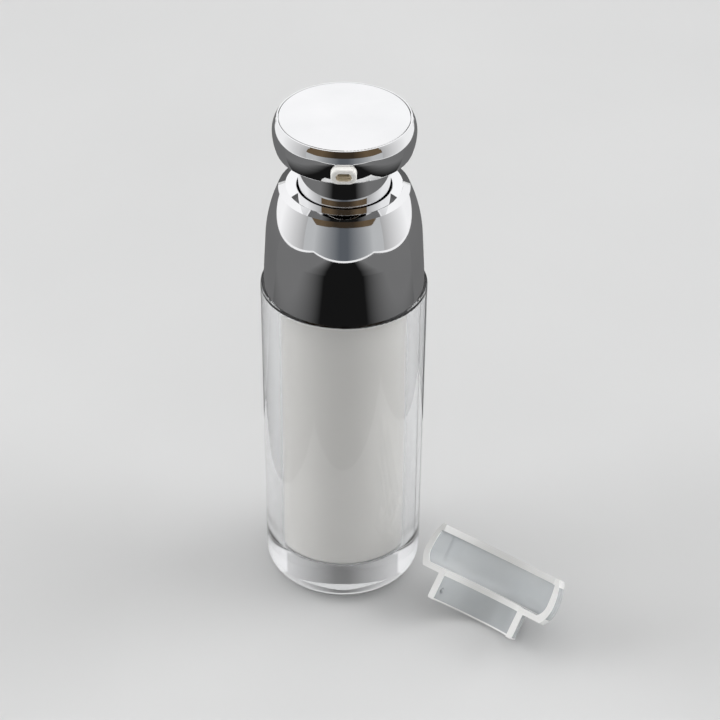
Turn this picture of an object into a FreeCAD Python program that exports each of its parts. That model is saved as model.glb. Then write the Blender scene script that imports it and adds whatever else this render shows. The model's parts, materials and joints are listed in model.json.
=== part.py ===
import FreeCAD, Part
import Sketcher
import math
import os
from types import SimpleNamespace

# Airless pump bottle: a clear thick-walled bottle, a white cartridge with a follower that rises under
# the cream, a pump held down by a silver collar, a silver press head with a white spout, and the
# half-shell clip that locks the head for transport, taken off and lying beside the bottle.
# Z is up from the base, the spout looks along -Y.  Millimetres and degrees.

SIZES = {
    # clear outer bottle
    "bottle_radius": 18.0,
    "foot_draft": 0.3,
    "bottle_height": 77.7,
    "base_round": 4.8,
    "shoulder_width": 3.0,
    "shoulder_round": 0.35,
    "base_thickness": 9.3,
    "bore_round": 1.0,
    "neck_wall": 1.05,
    "neck_height": 6.3,
    "bead_rise": 0.25,
    "bead_height": 2.8,
    # white cartridge inside it
    "cartridge_gap": 0.3,
    "cartridge_lift": 0.3,
    "cartridge_wall": 0.95,
    "cartridge_base": 1.2,
    "cartridge_round": 1.0,
    "flange_thickness": 1.2,
    "flange_inset": 0.1,
    "vent_radius": 1.5,
    # follower
    "follower_clearance": 0.07,
    "follower_lift": 0.3,
    "follower_height": 10.0,
    "follower_wall": 1.1,
    "lip_height": 1.6,
    "lip_depth": 0.5,
    "pocket_play": 0.6,
    "pocket_depth": 8.0,
    # mouth gasket, plug and chamber
    "gasket_thickness": 0.8,
    "gasket_inset": 0.2,
    "plate_thickness": 1.4,
    "plug_inset": 0.3,
    "fit": 0.05,
    "skirt_wall": 1.2,
    "skirt_depth": 6.0,
    "turret_wall": 1.75,
    "turret_height": 4.6,
    "chamber_wall": 1.0,
    "chamber_depth": 15.4,
    "well_gap": 1.3,
    "well_depth": 4.0,
    "port_lap": 0.6,
    "seat_thickness": 1.3,
    # inlet ball and its cage
    "ball_radius": 1.9,
    "ball_gap": 0.05,
    "cage_thickness": 0.8,
    "cage_hole": 0.75,
    "cage_land": 0.15,
    # cap over the chamber, wiper and stem
    "cap_wall": 0.55,
    "cap_skirt": 3.7,
    "cap_boss_wall": 0.85,
    "cap_boss_height": 1.2,
    "wiper_width": 0.95,
    "wiper_height": 0.9,
    "stem_bore": 1.3,
    "stem_wall": 1.3,
    "stem_play": 0.1,
    "stop_width": 0.8,
    "stop_thickness": 0.8,
    "stem_port": 0.45,
    # sliding pump piston and the poppet under it
    "piston_slip": 0.8,
    "piston_height": 4.25,
    "piston_wall": 1.9,
    "piston_lip": 1.0,
    "piston_lip_depth": 0.55,
    "piston_way": 0.5,
    "poppet_lap": 0.5,
    "poppet_tuck": 0.3,
    "poppet_thickness": 1.2,
    "poppet_edge": 0.5,
    "poppet_shank": 2.3,
    "stem_stand": 0.4,
    # return spring
    "spring_play": 0.35,
    "spring_wire": 0.8,
    # silver collar and the white liner in it
    "collar_step": 0.61,
    "collar_draft": 0.68,
    "collar_height": 24.65,
    "collar_bend": 32.9,
    "collar_wall": 0.95,
    "collar_nook": 0.97,
    "crown_drop": 0.65,
    "crown_run": 1.57,
    "ledge_round": 0.3,
    "collar_floor": 1.2,
    "collar_play": 0.3,
    "collar_ledge": 2.3,
    "hole_round": 0.2,
    "liner_play": 1.2,
    "liner_lift": 0.3,
    "liner_gap": 1.4,
    # silver press head
    "head_gap": 7.35,
    "head_overhang": 5.3,
    "head_belly": 5.8,
    "head_low": 1.5,
    "head_low_tuck": 0.8,
    "head_low_round": 0.6,
    "head_low_slope": 2.5,
    "head_edge": 0.3,
    "head_edge_tuck": 0.75,
    "head_edge_width": 0.2,
    "head_rim_width": 0.3,
    "shell_floor": 1.2,
    "shell_wall": 0.9,
    "shell_chamfer": 1.1,
    "sleeve_play": 0.3,
    "sleeve_wall": 1.0,
    "sleeve_reach": 5.1,
    "sleeve_lip": 1.0,
    "sleeve_lip_width": 1.5,
    "plate_gap": 0.1,
    "plate_seat": 1.2,
    "plate_proud": 0.1,
    "plate_round": 0.15,
    "plate_skirt_wall": 0.8,
    "plate_skirt_depth": 1.55,
    # white core and spout in the head
    "core_land": 1.35,
    "core_drop": 2.9,
    "deck_play": 0.4,
    "deck_thickness": 1.2,
    "hub_wall": 1.6,
    "hub_gap": 0.8,
    "spout_step": 0.4,
    "spout_width": 5.3,
    "spout_depth": 3.5,
    "spout_flat": 0.5,
    "spout_proud": 1.5,
    "spout_tuck": 1.7,
    "spout_round": 0.5,
    "window_gap": 0.1,
    "tail_side": 0.7,
    "tail_face": 0.6,
    "tail_flat": 0.7,
    "tail_length": 4.7,
    "slot_side": 1.05,
    "slot_face": 0.85,
    "slot_flat": 0.2,
    "slot_sink": 1.2,
    "passage_width": 2.4,
    "passage_depth": 1.0,
    "passage_flat": 0.2,
    "boss_wall": 0.85,
    "boss_bite": 0.8,
    "boss_gap": 0.4,
    "channel_radius": 0.9,
    "channel_room": 0.2,
    # transport clip
    "clip_play": 0.2,
    "clip_tube_wall": 1.45,
    "clip_slack": 0.1,
    "clip_shelf": 1.3,
    "clip_barrel": 10.5,
    "clip_belly_rise": 4.05,
    "clip_ease": 0.7,
    "clip_low_tuck": 1.25,
    "clip_top_tuck": 1.37,
    "clip_wall": 1.4,
    "clip_lip": 1.5,
    "clip_lip_width": 0.5,
    "clip_lip_tuck": 0.45,
    "clip_edge_round": 0.4,
    "clip_wrap": 180.0,
    "clip_tab_rise": 1.35,
    "clip_tab_width": 9.0,
    "clip_rib_inset": 2.5,
    "clip_rib_width": 0.8,
    "clip_rib_rise": 0.6,
    "clip_nub_radius": 0.6,
    "clip_nub_inset": 2.0,
    "clip_nub_height": 2.6,
    "clip_heading": 37.05,
    "clip_right": 28.25,
    "clip_front": 30.5,
    # cuts run past the faces they leave by this much, and edges are found within this much
    "overrun": 1.0,
    "same_place": 0.0001,
}

SPRING_TURN_COUNT = 6
TURN_ARC_COUNT = 4
CAGE_HOLE_COUNT = 4
LEFT = 1
RIGHT = -1

doc = FreeCAD.newDocument("airless_pump_bottle")
sheet = doc.addObject("Spreadsheet::Sheet", "Sizes")
for row, (alias, number) in enumerate(SIZES.items(), start=1):
    sheet.set("A%d" % row, alias)
    sheet.set("B%d" % row, str(number))
    sheet.setAlias("B%d" % row, alias)
doc.recompute()


class Size:
    """A size that carries its value and the sheet formula it comes from."""

    def __init__(self, text, value):
        self.text = text
        self.value = value

    def joined(self, sign, other, value):
        return Size("(%s %s %s)" % (self.text, sign, other.text), value)

    def __add__(self, other):
        return self.joined("+", other, self.value + other.value)

    def __sub__(self, other):
        return self.joined("-", other, self.value - other.value)

    def __mul__(self, other):
        return self.joined("*", other, self.value * other.value)

    def __truediv__(self, other):
        return self.joined("/", other, self.value / other.value)

    def __neg__(self):
        return ZERO - self


def root(size):
    return Size("sqrt(%s)" % size.text, math.sqrt(size.value))


ZERO = Size("0", 0.0)
TWO = Size("2", 2.0)
d = SimpleNamespace(**{alias: Size("Sizes." + alias, sheet.get(alias)) for alias in SIZES})
pieces = []


def new_body(name):
    body = doc.addObject("PartDesign::Body", name)
    body.Label = name
    body.Placement = FreeCAD.Placement()
    pieces.append(body)
    return body


def new_sketch(body, name, role="XZ_Plane", lift=None):
    plane = next(item for item in body.Origin.OriginFeatures if item.Role == role)
    sketch = body.newObject("Sketcher::SketchObject", "%s_%s" % (body.Name, name))
    sketch.AttachmentSupport = [(plane, "")]
    sketch.MapMode = "FlatFace"
    if lift is not None:
        sketch.setExpression("AttachmentOffset.Base.z", lift.text)
    return sketch


def bent(start, end, bend, turn):
    """The short arc of radius bend from start to end, turning left or right."""
    chord = end - start
    side = FreeCAD.Vector(-chord.y, chord.x, 0).normalize() * turn
    rise = math.sqrt(max(bend ** 2 - (chord.Length / 2) ** 2, 0))
    centre = (start + end) / 2 + side * rise
    first, last = (start, end) if turn == LEFT else (end, start)
    angles = [math.atan2(point.y - centre.y, point.x - centre.x) for point in (first, last)]
    circle = Part.Circle(centre, FreeCAD.Vector(0, 0, 1), bend)
    return Part.ArcOfCircle(circle, angles[0], angles[1])


def pin(rules, texts, kind, side, point, size, axis):
    """Hold one coordinate of a point to a size of the sheet."""
    if size is ZERO:
        rules.append(Sketcher.Constraint("PointOnObject", side, point, axis))
        texts.append(None)
    elif size.value < 0:
        rules.append(Sketcher.Constraint(kind, side, point, -1, 1, -size.value))
        texts.append((-size).text)
    else:
        rules.append(Sketcher.Constraint(kind, -1, 1, side, point, size.value))
        texts.append(size.text)


def constrain(sketch, rules, texts):
    for index, text in zip(sketch.addConstraint(rules), texts):
        if text is not None:
            sketch.setExpression("Constraints[%d]" % index, text)


def outline(sketch, corners):
    """A closed outline.  A corner is (across, up), or (across, up, bend, turn) before a bent side."""
    count = len(corners)
    spots = [FreeCAD.Vector(corner[0].value, corner[1].value, 0) for corner in corners]
    sides = []
    ends = []
    for index, corner in enumerate(corners):
        start, end = spots[index], spots[(index + 1) % count]
        if len(corner) == 2:
            sides.append(Part.LineSegment(start, end))
            ends.append((1, 2))
        else:
            sides.append(bent(start, end, corner[2].value, corner[3]))
            ends.append((1, 2) if corner[3] == LEFT else (2, 1))
    sketch.addGeometry(sides, False)
    rules = []
    texts = []
    for index in range(count):
        after = (index + 1) % count
        rules.append(Sketcher.Constraint("Coincident", index, ends[index][1], after, ends[after][0]))
        texts.append(None)
    for index, corner in enumerate(corners):
        pin(rules, texts, "DistanceX", index, ends[index][0], corner[0], -2)
        pin(rules, texts, "DistanceY", index, ends[index][0], corner[1], -1)
        if len(corner) == 4:
            rules.append(Sketcher.Constraint("Radius", index, corner[2].value))
            texts.append(corner[2].text)
    constrain(sketch, rules, texts)
    return sketch


def disc(sketch, across, up, radius):
    centre = FreeCAD.Vector(across.value, up.value, 0)
    sketch.addGeometry(Part.Circle(centre, FreeCAD.Vector(0, 0, 1), radius.value), False)
    rules = [Sketcher.Constraint("Radius", 0, radius.value)]
    texts = [radius.text]
    pin(rules, texts, "DistanceX", 0, 3, across, -2)
    pin(rules, texts, "DistanceY", 0, 3, up, -1)
    constrain(sketch, rules, texts)
    return sketch


def soft_box(sketch, width, depth, flat, up):
    """A rectangle whose round corners leave a flat at each end, over the origin at the height up."""
    w = width / TWO
    h = depth / TWO
    corner = h - flat / TWO
    outline(sketch, [
        (corner - w, up - h),
        (w - corner, up - h, corner, LEFT),
        (w, up - h + corner),
        (w, up + h - corner, corner, LEFT),
        (w - corner, up + h),
        (corner - w, up + h, corner, LEFT),
        (-w, up + h - corner),
        (-w, up - h + corner, corner, LEFT),
    ])
    return sketch


def turned(body, corners, sweep=None):
    sketch = outline(new_sketch(body, "profile"), corners)
    feature = body.newObject("PartDesign::Revolution", body.Name + "_turned")
    feature.Profile = sketch
    feature.ReferenceAxis = (sketch, ["V_Axis"])
    feature.Angle = 360
    if sweep is not None:
        feature.setExpression("Angle", sweep.text)
    doc.recompute()
    return feature


def padded(body, sketch, length, name):
    feature = body.newObject("PartDesign::Pad", "%s_%s" % (body.Name, name))
    feature.Profile = sketch
    feature.setExpression("Length", length.text)
    doc.recompute()
    return feature


def cut(body, sketch, length, name, outward=True, both=False):
    """A pocket that must take something away."""
    before = body.Shape.Volume
    feature = body.newObject("PartDesign::Pocket", "%s_%s" % (body.Name, name))
    feature.Profile = sketch
    feature.Reversed = outward
    feature.Midplane = both
    feature.setExpression("Length", length.text)
    doc.recompute()
    if not feature.Shape.Volume < before:
        raise RuntimeError("the cut %s took nothing away" % feature.Name)
    return feature


def eased(body, base, radius, rings, name):
    """Round the ring edges given by their radius and height."""
    names = []
    for index, edge in enumerate(base.Shape.Edges, start=1):
        if not isinstance(edge.Curve, Part.Circle):
            continue
        for across, up in rings:
            same = abs(edge.Curve.Radius - across.value) + abs(edge.Curve.Center.z - up.value)
            if same < d.same_place.value:
                names.append("Edge%d" % index)
    feature = body.newObject("PartDesign::Fillet", "%s_%s" % (body.Name, name))
    feature.Base = (base, names)
    feature.setExpression("Radius", radius.text)
    doc.recompute()
    return feature


def upright_bend(across, up):
    """Radius of the arc that leaves a vertical tangent and moves across over the height up."""
    return (across * across + up * up) / (TWO * across)


# radii from the stem out to the sleeve, and from the bottle in to the bore
stem_radius = d.stem_bore + d.stem_wall
stem_hole = stem_radius + d.stem_play
wiper_radius = stem_hole + d.wiper_width
cap_boss_radius = wiper_radius + d.cap_boss_wall
spring_radius = cap_boss_radius + d.spring_play + d.spring_wire / TWO
piston_passage = stem_radius + d.piston_way
chamber_bore = piston_passage + d.piston_wall
chamber_radius = chamber_bore + d.chamber_wall
turret_bore = chamber_radius + d.fit
turret_radius = turret_bore + d.turret_wall
cap_bore = turret_radius + d.fit
cap_radius = cap_bore + d.cap_wall
sleeve_bore = cap_radius + d.sleeve_play
sleeve_radius = sleeve_bore + d.sleeve_wall
head_radius = sleeve_radius + d.head_overhang
neck_radius = d.bottle_radius - d.shoulder_width
bottle_bore = neck_radius - d.neck_wall

# heights of the stacked pieces
shoulder = d.bottle_height
neck_top = shoulder + d.neck_height
mouth = neck_top + d.flange_thickness
plug_under = mouth + d.gasket_thickness
plug_top = plug_under + d.plate_thickness
turret_top = plug_top + d.turret_height
chamber_top = turret_top + d.flange_thickness
cap_top = chamber_top + d.plate_thickness
boss_top = cap_top + d.cap_boss_height
collar_top = shoulder + d.collar_height
collar_under = collar_top - d.collar_floor
head_under = collar_top + d.head_gap
shell_floor = head_under + d.shell_floor
deck_under = shell_floor + d.sleeve_lip
deck_top = deck_under + d.deck_thickness
core_under = deck_under - d.core_drop
spout_height = deck_under + d.spout_step + d.spout_depth / TWO
skirt_low = spout_height + d.spout_depth / TWO + d.fit
plate_under = skirt_low + d.plate_skirt_depth
head_top = plate_under + d.plate_seat
plate_top = head_top + d.plate_proud

# clear outer bottle with a thick base and a snap bead on its neck
bead_low = shoulder + d.bead_height - d.bead_rise
bead_middle = shoulder + d.bead_height
bead_high = shoulder + d.bead_height + d.bead_rise
foot_radius = d.bottle_radius - d.foot_draft
bottle = new_body("outer_bottle")
wall = turned(bottle, [
    (ZERO, ZERO),
    (foot_radius - d.base_round, ZERO, d.base_round, LEFT),
    (foot_radius, d.base_round),
    (d.bottle_radius, shoulder),
    (neck_radius, shoulder),
    (neck_radius, bead_low),
    (neck_radius + d.bead_rise, bead_middle),
    (neck_radius, bead_high),
    (neck_radius, neck_top),
    (bottle_bore, neck_top),
    (bottle_bore, d.base_thickness + d.bore_round, d.bore_round, RIGHT),
    (bottle_bore - d.bore_round, d.base_thickness),
    (ZERO, d.base_thickness),
])
eased(bottle, wall, d.shoulder_round, [(d.bottle_radius, shoulder)], "shoulder")

# white cartridge hung from its flange on the neck, vented below the follower
cartridge_radius = bottle_bore - d.cartridge_gap
cartridge_bore = cartridge_radius - d.cartridge_wall
cartridge_foot = d.base_thickness + d.cartridge_lift
cartridge_floor = cartridge_foot + d.cartridge_base
flange_radius = neck_radius - d.flange_inset
turned(new_body("inner_bottle"), [
    (d.vent_radius, cartridge_foot),
    (cartridge_radius - d.cartridge_round, cartridge_foot, d.cartridge_round, LEFT),
    (cartridge_radius, cartridge_foot + d.cartridge_round),
    (cartridge_radius, neck_top),
    (flange_radius, neck_top),
    (flange_radius, mouth),
    (cartridge_bore, mouth),
    (cartridge_bore, cartridge_floor),
    (d.vent_radius, cartridge_floor),
])

# follower: two wiping lips on a waisted wall, a crown and a pocket that clears the pump's nose
follower_radius = cartridge_bore - d.follower_clearance
waist_radius = follower_radius - d.lip_depth
follower_low = cartridge_floor + d.follower_lift
follower_high = follower_low + d.follower_height
pocket_floor = follower_high - d.pocket_depth
pocket_radius = chamber_radius + d.pocket_play
turned(new_body("follower_piston"), [
    (ZERO, pocket_floor - d.follower_wall),
    (pocket_radius + d.follower_wall, pocket_floor - d.follower_wall),
    (pocket_radius + d.follower_wall, follower_high - d.follower_wall),
    (waist_radius - d.follower_wall, follower_high - d.follower_wall),
    (waist_radius - d.follower_wall, follower_low),
    (follower_radius, follower_low),
    (follower_radius, follower_low + d.lip_height),
    (waist_radius, follower_low + d.lip_height + d.lip_depth),
    (waist_radius, follower_high - d.lip_height - d.lip_depth),
    (follower_radius, follower_high - d.lip_height),
    (follower_radius, follower_high),
    (pocket_radius, follower_high),
    (pocket_radius, pocket_floor),
    (ZERO, pocket_floor),
])

# soft ring between the cartridge's flange and the plug
turned(new_body("mouth_gasket"), [
    (cartridge_bore + d.gasket_inset, mouth),
    (flange_radius - d.gasket_inset, mouth),
    (flange_radius - d.gasket_inset, plug_under),
    (cartridge_bore + d.gasket_inset, plug_under),
])

# plug: plate over the mouth, skirt down in the cartridge, turret that carries the chamber
skirt_radius = cartridge_bore - d.fit
plug_radius = neck_radius - d.plug_inset
turned(new_body("pump_plug"), [
    (turret_bore, plug_under),
    (skirt_radius - d.skirt_wall, plug_under),
    (skirt_radius - d.skirt_wall, plug_under - d.skirt_depth),
    (skirt_radius, plug_under - d.skirt_depth),
    (skirt_radius, plug_under),
    (plug_radius, plug_under),
    (plug_radius, plug_top),
    (turret_radius, plug_top),
    (turret_radius, turret_top),
    (turret_bore, turret_top),
])

# chamber hung in the turret, with the ball's well and the inlet port at its foot
ledge = chamber_top - d.chamber_depth
seat = ledge - d.well_depth
nose_low = seat - d.seat_thickness
well_radius = d.ball_radius + d.well_gap
port_radius = d.ball_radius - d.port_lap
nose_radius = well_radius + d.chamber_wall
turned(new_body("pump_chamber"), [
    (port_radius, nose_low),
    (nose_radius, nose_low),
    (nose_radius, ledge - d.chamber_wall),
    (chamber_radius, ledge - d.chamber_wall),
    (chamber_radius, turret_top),
    (turret_radius, turret_top),
    (turret_radius, chamber_top),
    (chamber_bore, chamber_top),
    (chamber_bore, ledge),
    (well_radius, ledge),
    (well_radius, seat),
    (port_radius, seat),
])

# inlet ball on the edge of the port
ball_rise = root(d.ball_radius * d.ball_radius - port_radius * port_radius)
ball = doc.addObject("Part::Sphere", "inlet_ball")
ball.Label = "inlet_ball"
ball.setExpression("Radius", d.ball_radius.text)
ball.setExpression("Placement.Base.z", (seat + ball_rise + d.ball_gap).text)
pieces.append(ball)

# cage that keeps the ball in its well, with round ways for the cream
cage = new_body("valve_cage")
turned(cage, [
    (ZERO, ledge),
    (chamber_bore - d.fit, ledge),
    (chamber_bore - d.fit, ledge + d.cage_thickness),
    (ZERO, ledge + d.cage_thickness),
])
cage_pitch = well_radius - d.cage_hole - d.cage_land
way = disc(new_sketch(cage, "way", "XY_Plane", ledge - d.overrun), cage_pitch, ZERO, d.cage_hole)
first_way = cut(cage, way, d.cage_thickness + d.overrun + d.overrun, "first_way")
ring = cage.newObject("PartDesign::PolarPattern", "valve_cage_ways")
ring.Originals = [first_way]
ring.Axis = (way, ["N_Axis"])
ring.Angle = 360
ring.Occurrences = CAGE_HOLE_COUNT
cage.Tip = ring
doc.recompute()

# cap snapped over the turret, with the spring's boss and the wiper's recess round the stem
wiper_low = boss_top - d.wiper_height
turned(new_body("chamber_cap"), [
    (stem_hole, chamber_top),
    (cap_bore, chamber_top),
    (cap_bore, chamber_top - d.cap_skirt),
    (cap_radius, chamber_top - d.cap_skirt),
    (cap_radius, cap_top),
    (cap_boss_radius, cap_top),
    (cap_boss_radius, boss_top),
    (wiper_radius, boss_top),
    (wiper_radius, wiper_low),
    (stem_hole, wiper_low),
])

# soft ring that wipes the stem
turned(new_body("stem_wiper"), [
    (stem_radius + d.fit, wiper_low),
    (wiper_radius, wiper_low),
    (wiper_radius, boss_top),
    (stem_radius + d.fit, boss_top),
])

# hollow stem with a stop under the cap and two side ports inside the piston
stop_high = chamber_top - d.fit
stop_low = stop_high - d.stop_thickness
piston_high = stop_low - d.piston_slip - d.fit
piston_low = piston_high - d.piston_height
poppet_high = piston_low - d.fit
poppet_low = poppet_high - d.poppet_thickness
stem_low = poppet_high + d.stem_stand
stem_high = deck_top - d.fit
stop_radius = stem_radius + d.stop_width
stem = new_body("pump_stem")
turned(stem, [
    (d.stem_bore, stem_low),
    (stem_radius, stem_low),
    (stem_radius, stop_low),
    (stop_radius, stop_low),
    (stop_radius, stop_high),
    (stem_radius, stop_high),
    (stem_radius, stem_high),
    (d.stem_bore, stem_high),
])
port_height = poppet_high + d.poppet_shank + d.stem_port + d.fit
ports = disc(new_sketch(stem, "ports"), ZERO, port_height, d.stem_port)
cut(stem, ports, (stem_radius + d.overrun) * TWO, "side_ports", both=True)

# poppet pressed into the stem's foot, it closes the piston's passage
shank_radius = d.stem_bore - d.fit
poppet_radius = piston_passage + d.poppet_lap
turned(new_body("stem_poppet"), [
    (ZERO, poppet_low),
    (poppet_radius, poppet_low),
    (poppet_radius, poppet_low + d.poppet_edge),
    (piston_passage - d.poppet_tuck, poppet_high),
    (shank_radius, poppet_high),
    (shank_radius, poppet_high + d.poppet_shank),
    (ZERO, poppet_high + d.poppet_shank),
])

# piston that slips on the stem, with a lip at each end
lip_radius = chamber_bore - d.fit
piston_waist = lip_radius - d.piston_lip_depth
turned(new_body("pump_piston"), [
    (piston_passage, piston_low),
    (lip_radius, piston_low),
    (lip_radius, piston_low + d.piston_lip),
    (piston_waist, piston_low + d.piston_lip + d.piston_lip_depth),
    (piston_waist, piston_high - d.piston_lip - d.piston_lip_depth),
    (lip_radius, piston_high - d.piston_lip),
    (lip_radius, piston_high),
    (stem_radius + d.fit, piston_high),
    (stem_radius + d.fit, piston_high - d.piston_lip),
    (piston_passage, piston_high - d.piston_lip),
])


def biarc(start, heading, end, leaving):
    """Two arcs that share a tangent, from start along heading to end along leaving."""
    gap = end - start
    both = heading + leaving
    square = 2 * (1 - heading.dot(leaving))
    reach = gap.dot(both)
    arm = (-reach + math.sqrt(reach ** 2 + square * gap.dot(gap))) / square
    joint = (start + end + (heading - leaving) * arm) / 2
    return [arc_from(start, heading, joint), arc_from(end, leaving * -1, joint)]


def arc_from(start, heading, end):
    """The arc that leaves start along heading and reaches end."""
    chord = end - start
    sideways = chord - heading * chord.dot(heading)
    radius = chord.dot(chord) / (2 * sideways.Length)
    centre = start + sideways.normalize() * radius
    middle = (start + end) / 2 - centre
    return Part.Arc(start, centre + middle.normalize() * radius, end)


def coil(radius, wire, low, high, turns):
    """A round wire wound up the axis from low to high."""
    climb = (high - low) / (2 * math.pi * turns)

    def spot(step):
        angle = 2 * math.pi * step / TURN_ARC_COUNT
        return FreeCAD.Vector(radius * math.cos(angle), radius * math.sin(angle), low + climb * angle)

    def heading(step):
        angle = 2 * math.pi * step / TURN_ARC_COUNT
        return FreeCAD.Vector(-radius * math.sin(angle), radius * math.cos(angle), climb).normalize()

    edges = []
    for step in range(turns * TURN_ARC_COUNT):
        first, last = biarc(spot(step), heading(step), spot(step + 1), heading(step + 1))
        halfway = last.value(last.parameterAtDistance(last.length() / 2))
        edges.append(first.toShape())
        edges.append(Part.Arc(last.EndPoint, halfway, last.StartPoint).toShape())
    path = Part.Wire(edges)
    section = Part.Wire([Part.Circle(spot(0), heading(0), wire / 2).toShape()])
    return path.makePipeShell([section], True, False)


def spring_line(radius, low, high, turns):
    """Points along the middle of the wire."""
    count = turns * TURN_ARC_COUNT * TURN_ARC_COUNT
    points = []
    for step in range(count + 1):
        angle = 2 * math.pi * turns * step / count
        rise = low + (high - low) * step / count
        points.append(FreeCAD.Vector(radius * math.cos(angle), radius * math.sin(angle), rise))
    return points


def own_gap(points, wire):
    """Least clear gap between points that lie half a turn or more apart on the wire."""
    apart = TURN_ARC_COUNT * TURN_ARC_COUNT // 2
    pairs = ((a, b) for i, a in enumerate(points) for b in points[i + apart:])
    return min((a - b).Length for a, b in pairs) - wire


# return spring between the cap and the head's core
spring_low = cap_top + d.spring_wire / TWO + d.fit
spring_high = core_under - d.spring_wire / TWO - d.fit
spring_ends = (spring_low.value, spring_high.value, SPRING_TURN_COUNT)
spring = doc.addObject("Part::Feature", "return_spring")
spring.Label = "return_spring"
spring.Shape = coil(spring_radius.value, d.spring_wire.value, *spring_ends)
spring.Placement = FreeCAD.Placement()
pieces.append(spring)
gap_points = spring_line(spring_radius.value, *spring_ends)
print("least gap of the spring to itself", own_gap(gap_points, d.spring_wire.value))

# silver sleeve that runs through the collar, hung by its lip on the shell's floor
sleeve_low = collar_under - d.sleeve_reach
sleeve_lip_radius = sleeve_radius + d.sleeve_lip_width
turned(new_body("neck_sleeve"), [
    (sleeve_bore, sleeve_low),
    (sleeve_radius, sleeve_low),
    (sleeve_radius, shell_floor),
    (sleeve_lip_radius, shell_floor),
    (sleeve_lip_radius, deck_under),
    (sleeve_bore, deck_under),
])

# silver shell of the head, bellied, with a seat for the top plate and the spout's window
belly = head_under + d.head_belly
low = head_under + d.head_low
edge = head_top - d.head_edge
head_low_radius = head_radius - d.head_low_tuck
head_edge_radius = head_radius - d.head_edge_tuck
head_rim_radius = head_edge_radius - d.head_edge_width
plate_bore = head_rim_radius - d.head_rim_width
shell_cavity = head_low_radius - d.shell_wall
shell = new_body("head_shell")
shell_turned = turned(shell, [
    (sleeve_radius + d.fit, head_under),
    (head_low_radius - d.head_low_slope, head_under),
    (head_low_radius, low, upright_bend(d.head_low_tuck, belly - low), LEFT),
    (head_radius, belly, upright_bend(d.head_edge_tuck, edge - belly), LEFT),
    (head_edge_radius, edge),
    (head_rim_radius, head_top),
    (plate_bore, head_top),
    (plate_bore, plate_under),
    (shell_cavity, plate_under),
    (shell_cavity, shell_floor + d.shell_chamfer),
    (shell_cavity - d.shell_chamfer, shell_floor),
    (sleeve_radius + d.fit, shell_floor),
])
eased(shell, shell_turned, d.head_low_round, [(head_low_radius, low)], "lower_edge")
window_width = d.spout_width + d.window_gap * TWO
window_depth = d.spout_depth + d.window_gap * TWO
window = soft_box(new_sketch(shell, "window"), window_width, window_depth, d.spout_flat, spout_height)
cut(shell, window, head_radius + d.overrun, "spout_window")

# silver plate on top of the head
plate = new_body("top_plate")
plate_radius = plate_bore - d.plate_gap
skirt_out = shell_cavity - d.plate_gap
skirt_in = skirt_out - d.plate_skirt_wall
plate_turned = turned(plate, [
    (ZERO, plate_under),
    (skirt_in, plate_under),
    (skirt_in, skirt_low),
    (skirt_out, skirt_low),
    (skirt_out, plate_under),
    (plate_radius, plate_under),
    (plate_radius, plate_top),
    (ZERO, plate_top),
])
eased(plate, plate_turned, d.plate_round, [(plate_radius, plate_top)], "edge")

# white core: stem socket, deck on the sleeve's lip, hub, boss for the spout's tail, notch for the spout
core_radius = spring_radius + d.spring_wire / TWO + d.core_land
deck_radius = shell_cavity - d.deck_play
hub_radius = stem_radius + d.hub_wall
hub_top = plate_under - d.hub_gap
spout_root = shell_cavity - d.spout_tuck
tail_root = spout_root - d.tail_length
tail_width = d.spout_width - d.tail_side * TWO
tail_depth = d.spout_depth - d.tail_face * TWO
well_top = spout_height + d.channel_radius + d.channel_room
core = new_body("actuator_core")
turned(core, [
    (stem_radius + d.fit, core_under),
    (core_radius, core_under),
    (core_radius, deck_under),
    (deck_radius, deck_under),
    (deck_radius, deck_top),
    (hub_radius, deck_top),
    (hub_radius, hub_top),
    (ZERO, hub_top),
    (ZERO, well_top),
    (d.stem_bore, well_top),
    (d.stem_bore, deck_top),
    (stem_radius + d.fit, deck_top),
])
boss_start = hub_radius - d.boss_bite
boss_end = spout_root - d.boss_gap
boss = soft_box(new_sketch(core, "boss", lift=boss_start), tail_width + d.boss_wall * TWO,
                tail_depth + d.boss_wall * TWO, d.tail_flat, spout_height)
padded(core, boss, boss_end - boss_start, "boss_pad")
tail_bed = soft_box(new_sketch(core, "tail_bed", lift=tail_root - d.fit), tail_width + d.fit * TWO,
                    tail_depth + d.fit * TWO, d.tail_flat, spout_height)
cut(core, tail_bed, d.tail_length + d.overrun, "tail_socket")
channel = disc(new_sketch(core, "channel"), ZERO, spout_height, d.channel_radius)
cut(core, channel, tail_root, "channel_cut")
notch = outline(new_sketch(core, "notch", lift=spout_root - d.window_gap), [
    (-window_width / TWO, deck_under - d.overrun),
    (window_width / TWO, deck_under - d.overrun),
    (window_width / TWO, spout_height),
    (-window_width / TWO, spout_height),
])
cut(core, notch, deck_radius, "spout_notch")

# white spout pushed in through the window, with a flat way and a sunk slot at its mouth
spout = new_body("nozzle_spout")
spout_reach = head_radius + d.spout_proud
slot_width = d.spout_width - d.slot_side * TWO
slot_depth = d.spout_depth - d.slot_face * TWO
spout_box = soft_box(new_sketch(spout, "body", lift=spout_root), d.spout_width, d.spout_depth,
                     d.spout_flat, spout_height)
padded(spout, spout_box, spout_reach - spout_root, "body_pad")
tail = soft_box(new_sketch(spout, "tail", lift=tail_root), tail_width, tail_depth, d.tail_flat, spout_height)
padded(spout, tail, d.tail_length + d.overrun, "tail_pad")
passage = soft_box(new_sketch(spout, "passage"), d.passage_width, d.passage_depth, d.passage_flat,
                   spout_height)
cut(spout, passage, spout_reach + d.overrun, "passage_cut")
slot = soft_box(new_sketch(spout, "slot", lift=spout_reach - d.slot_sink), slot_width, slot_depth,
                d.slot_flat, spout_height)
slotted = cut(spout, slot, d.slot_sink + d.overrun, "slot_cut")
mouth_edges = []
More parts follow.
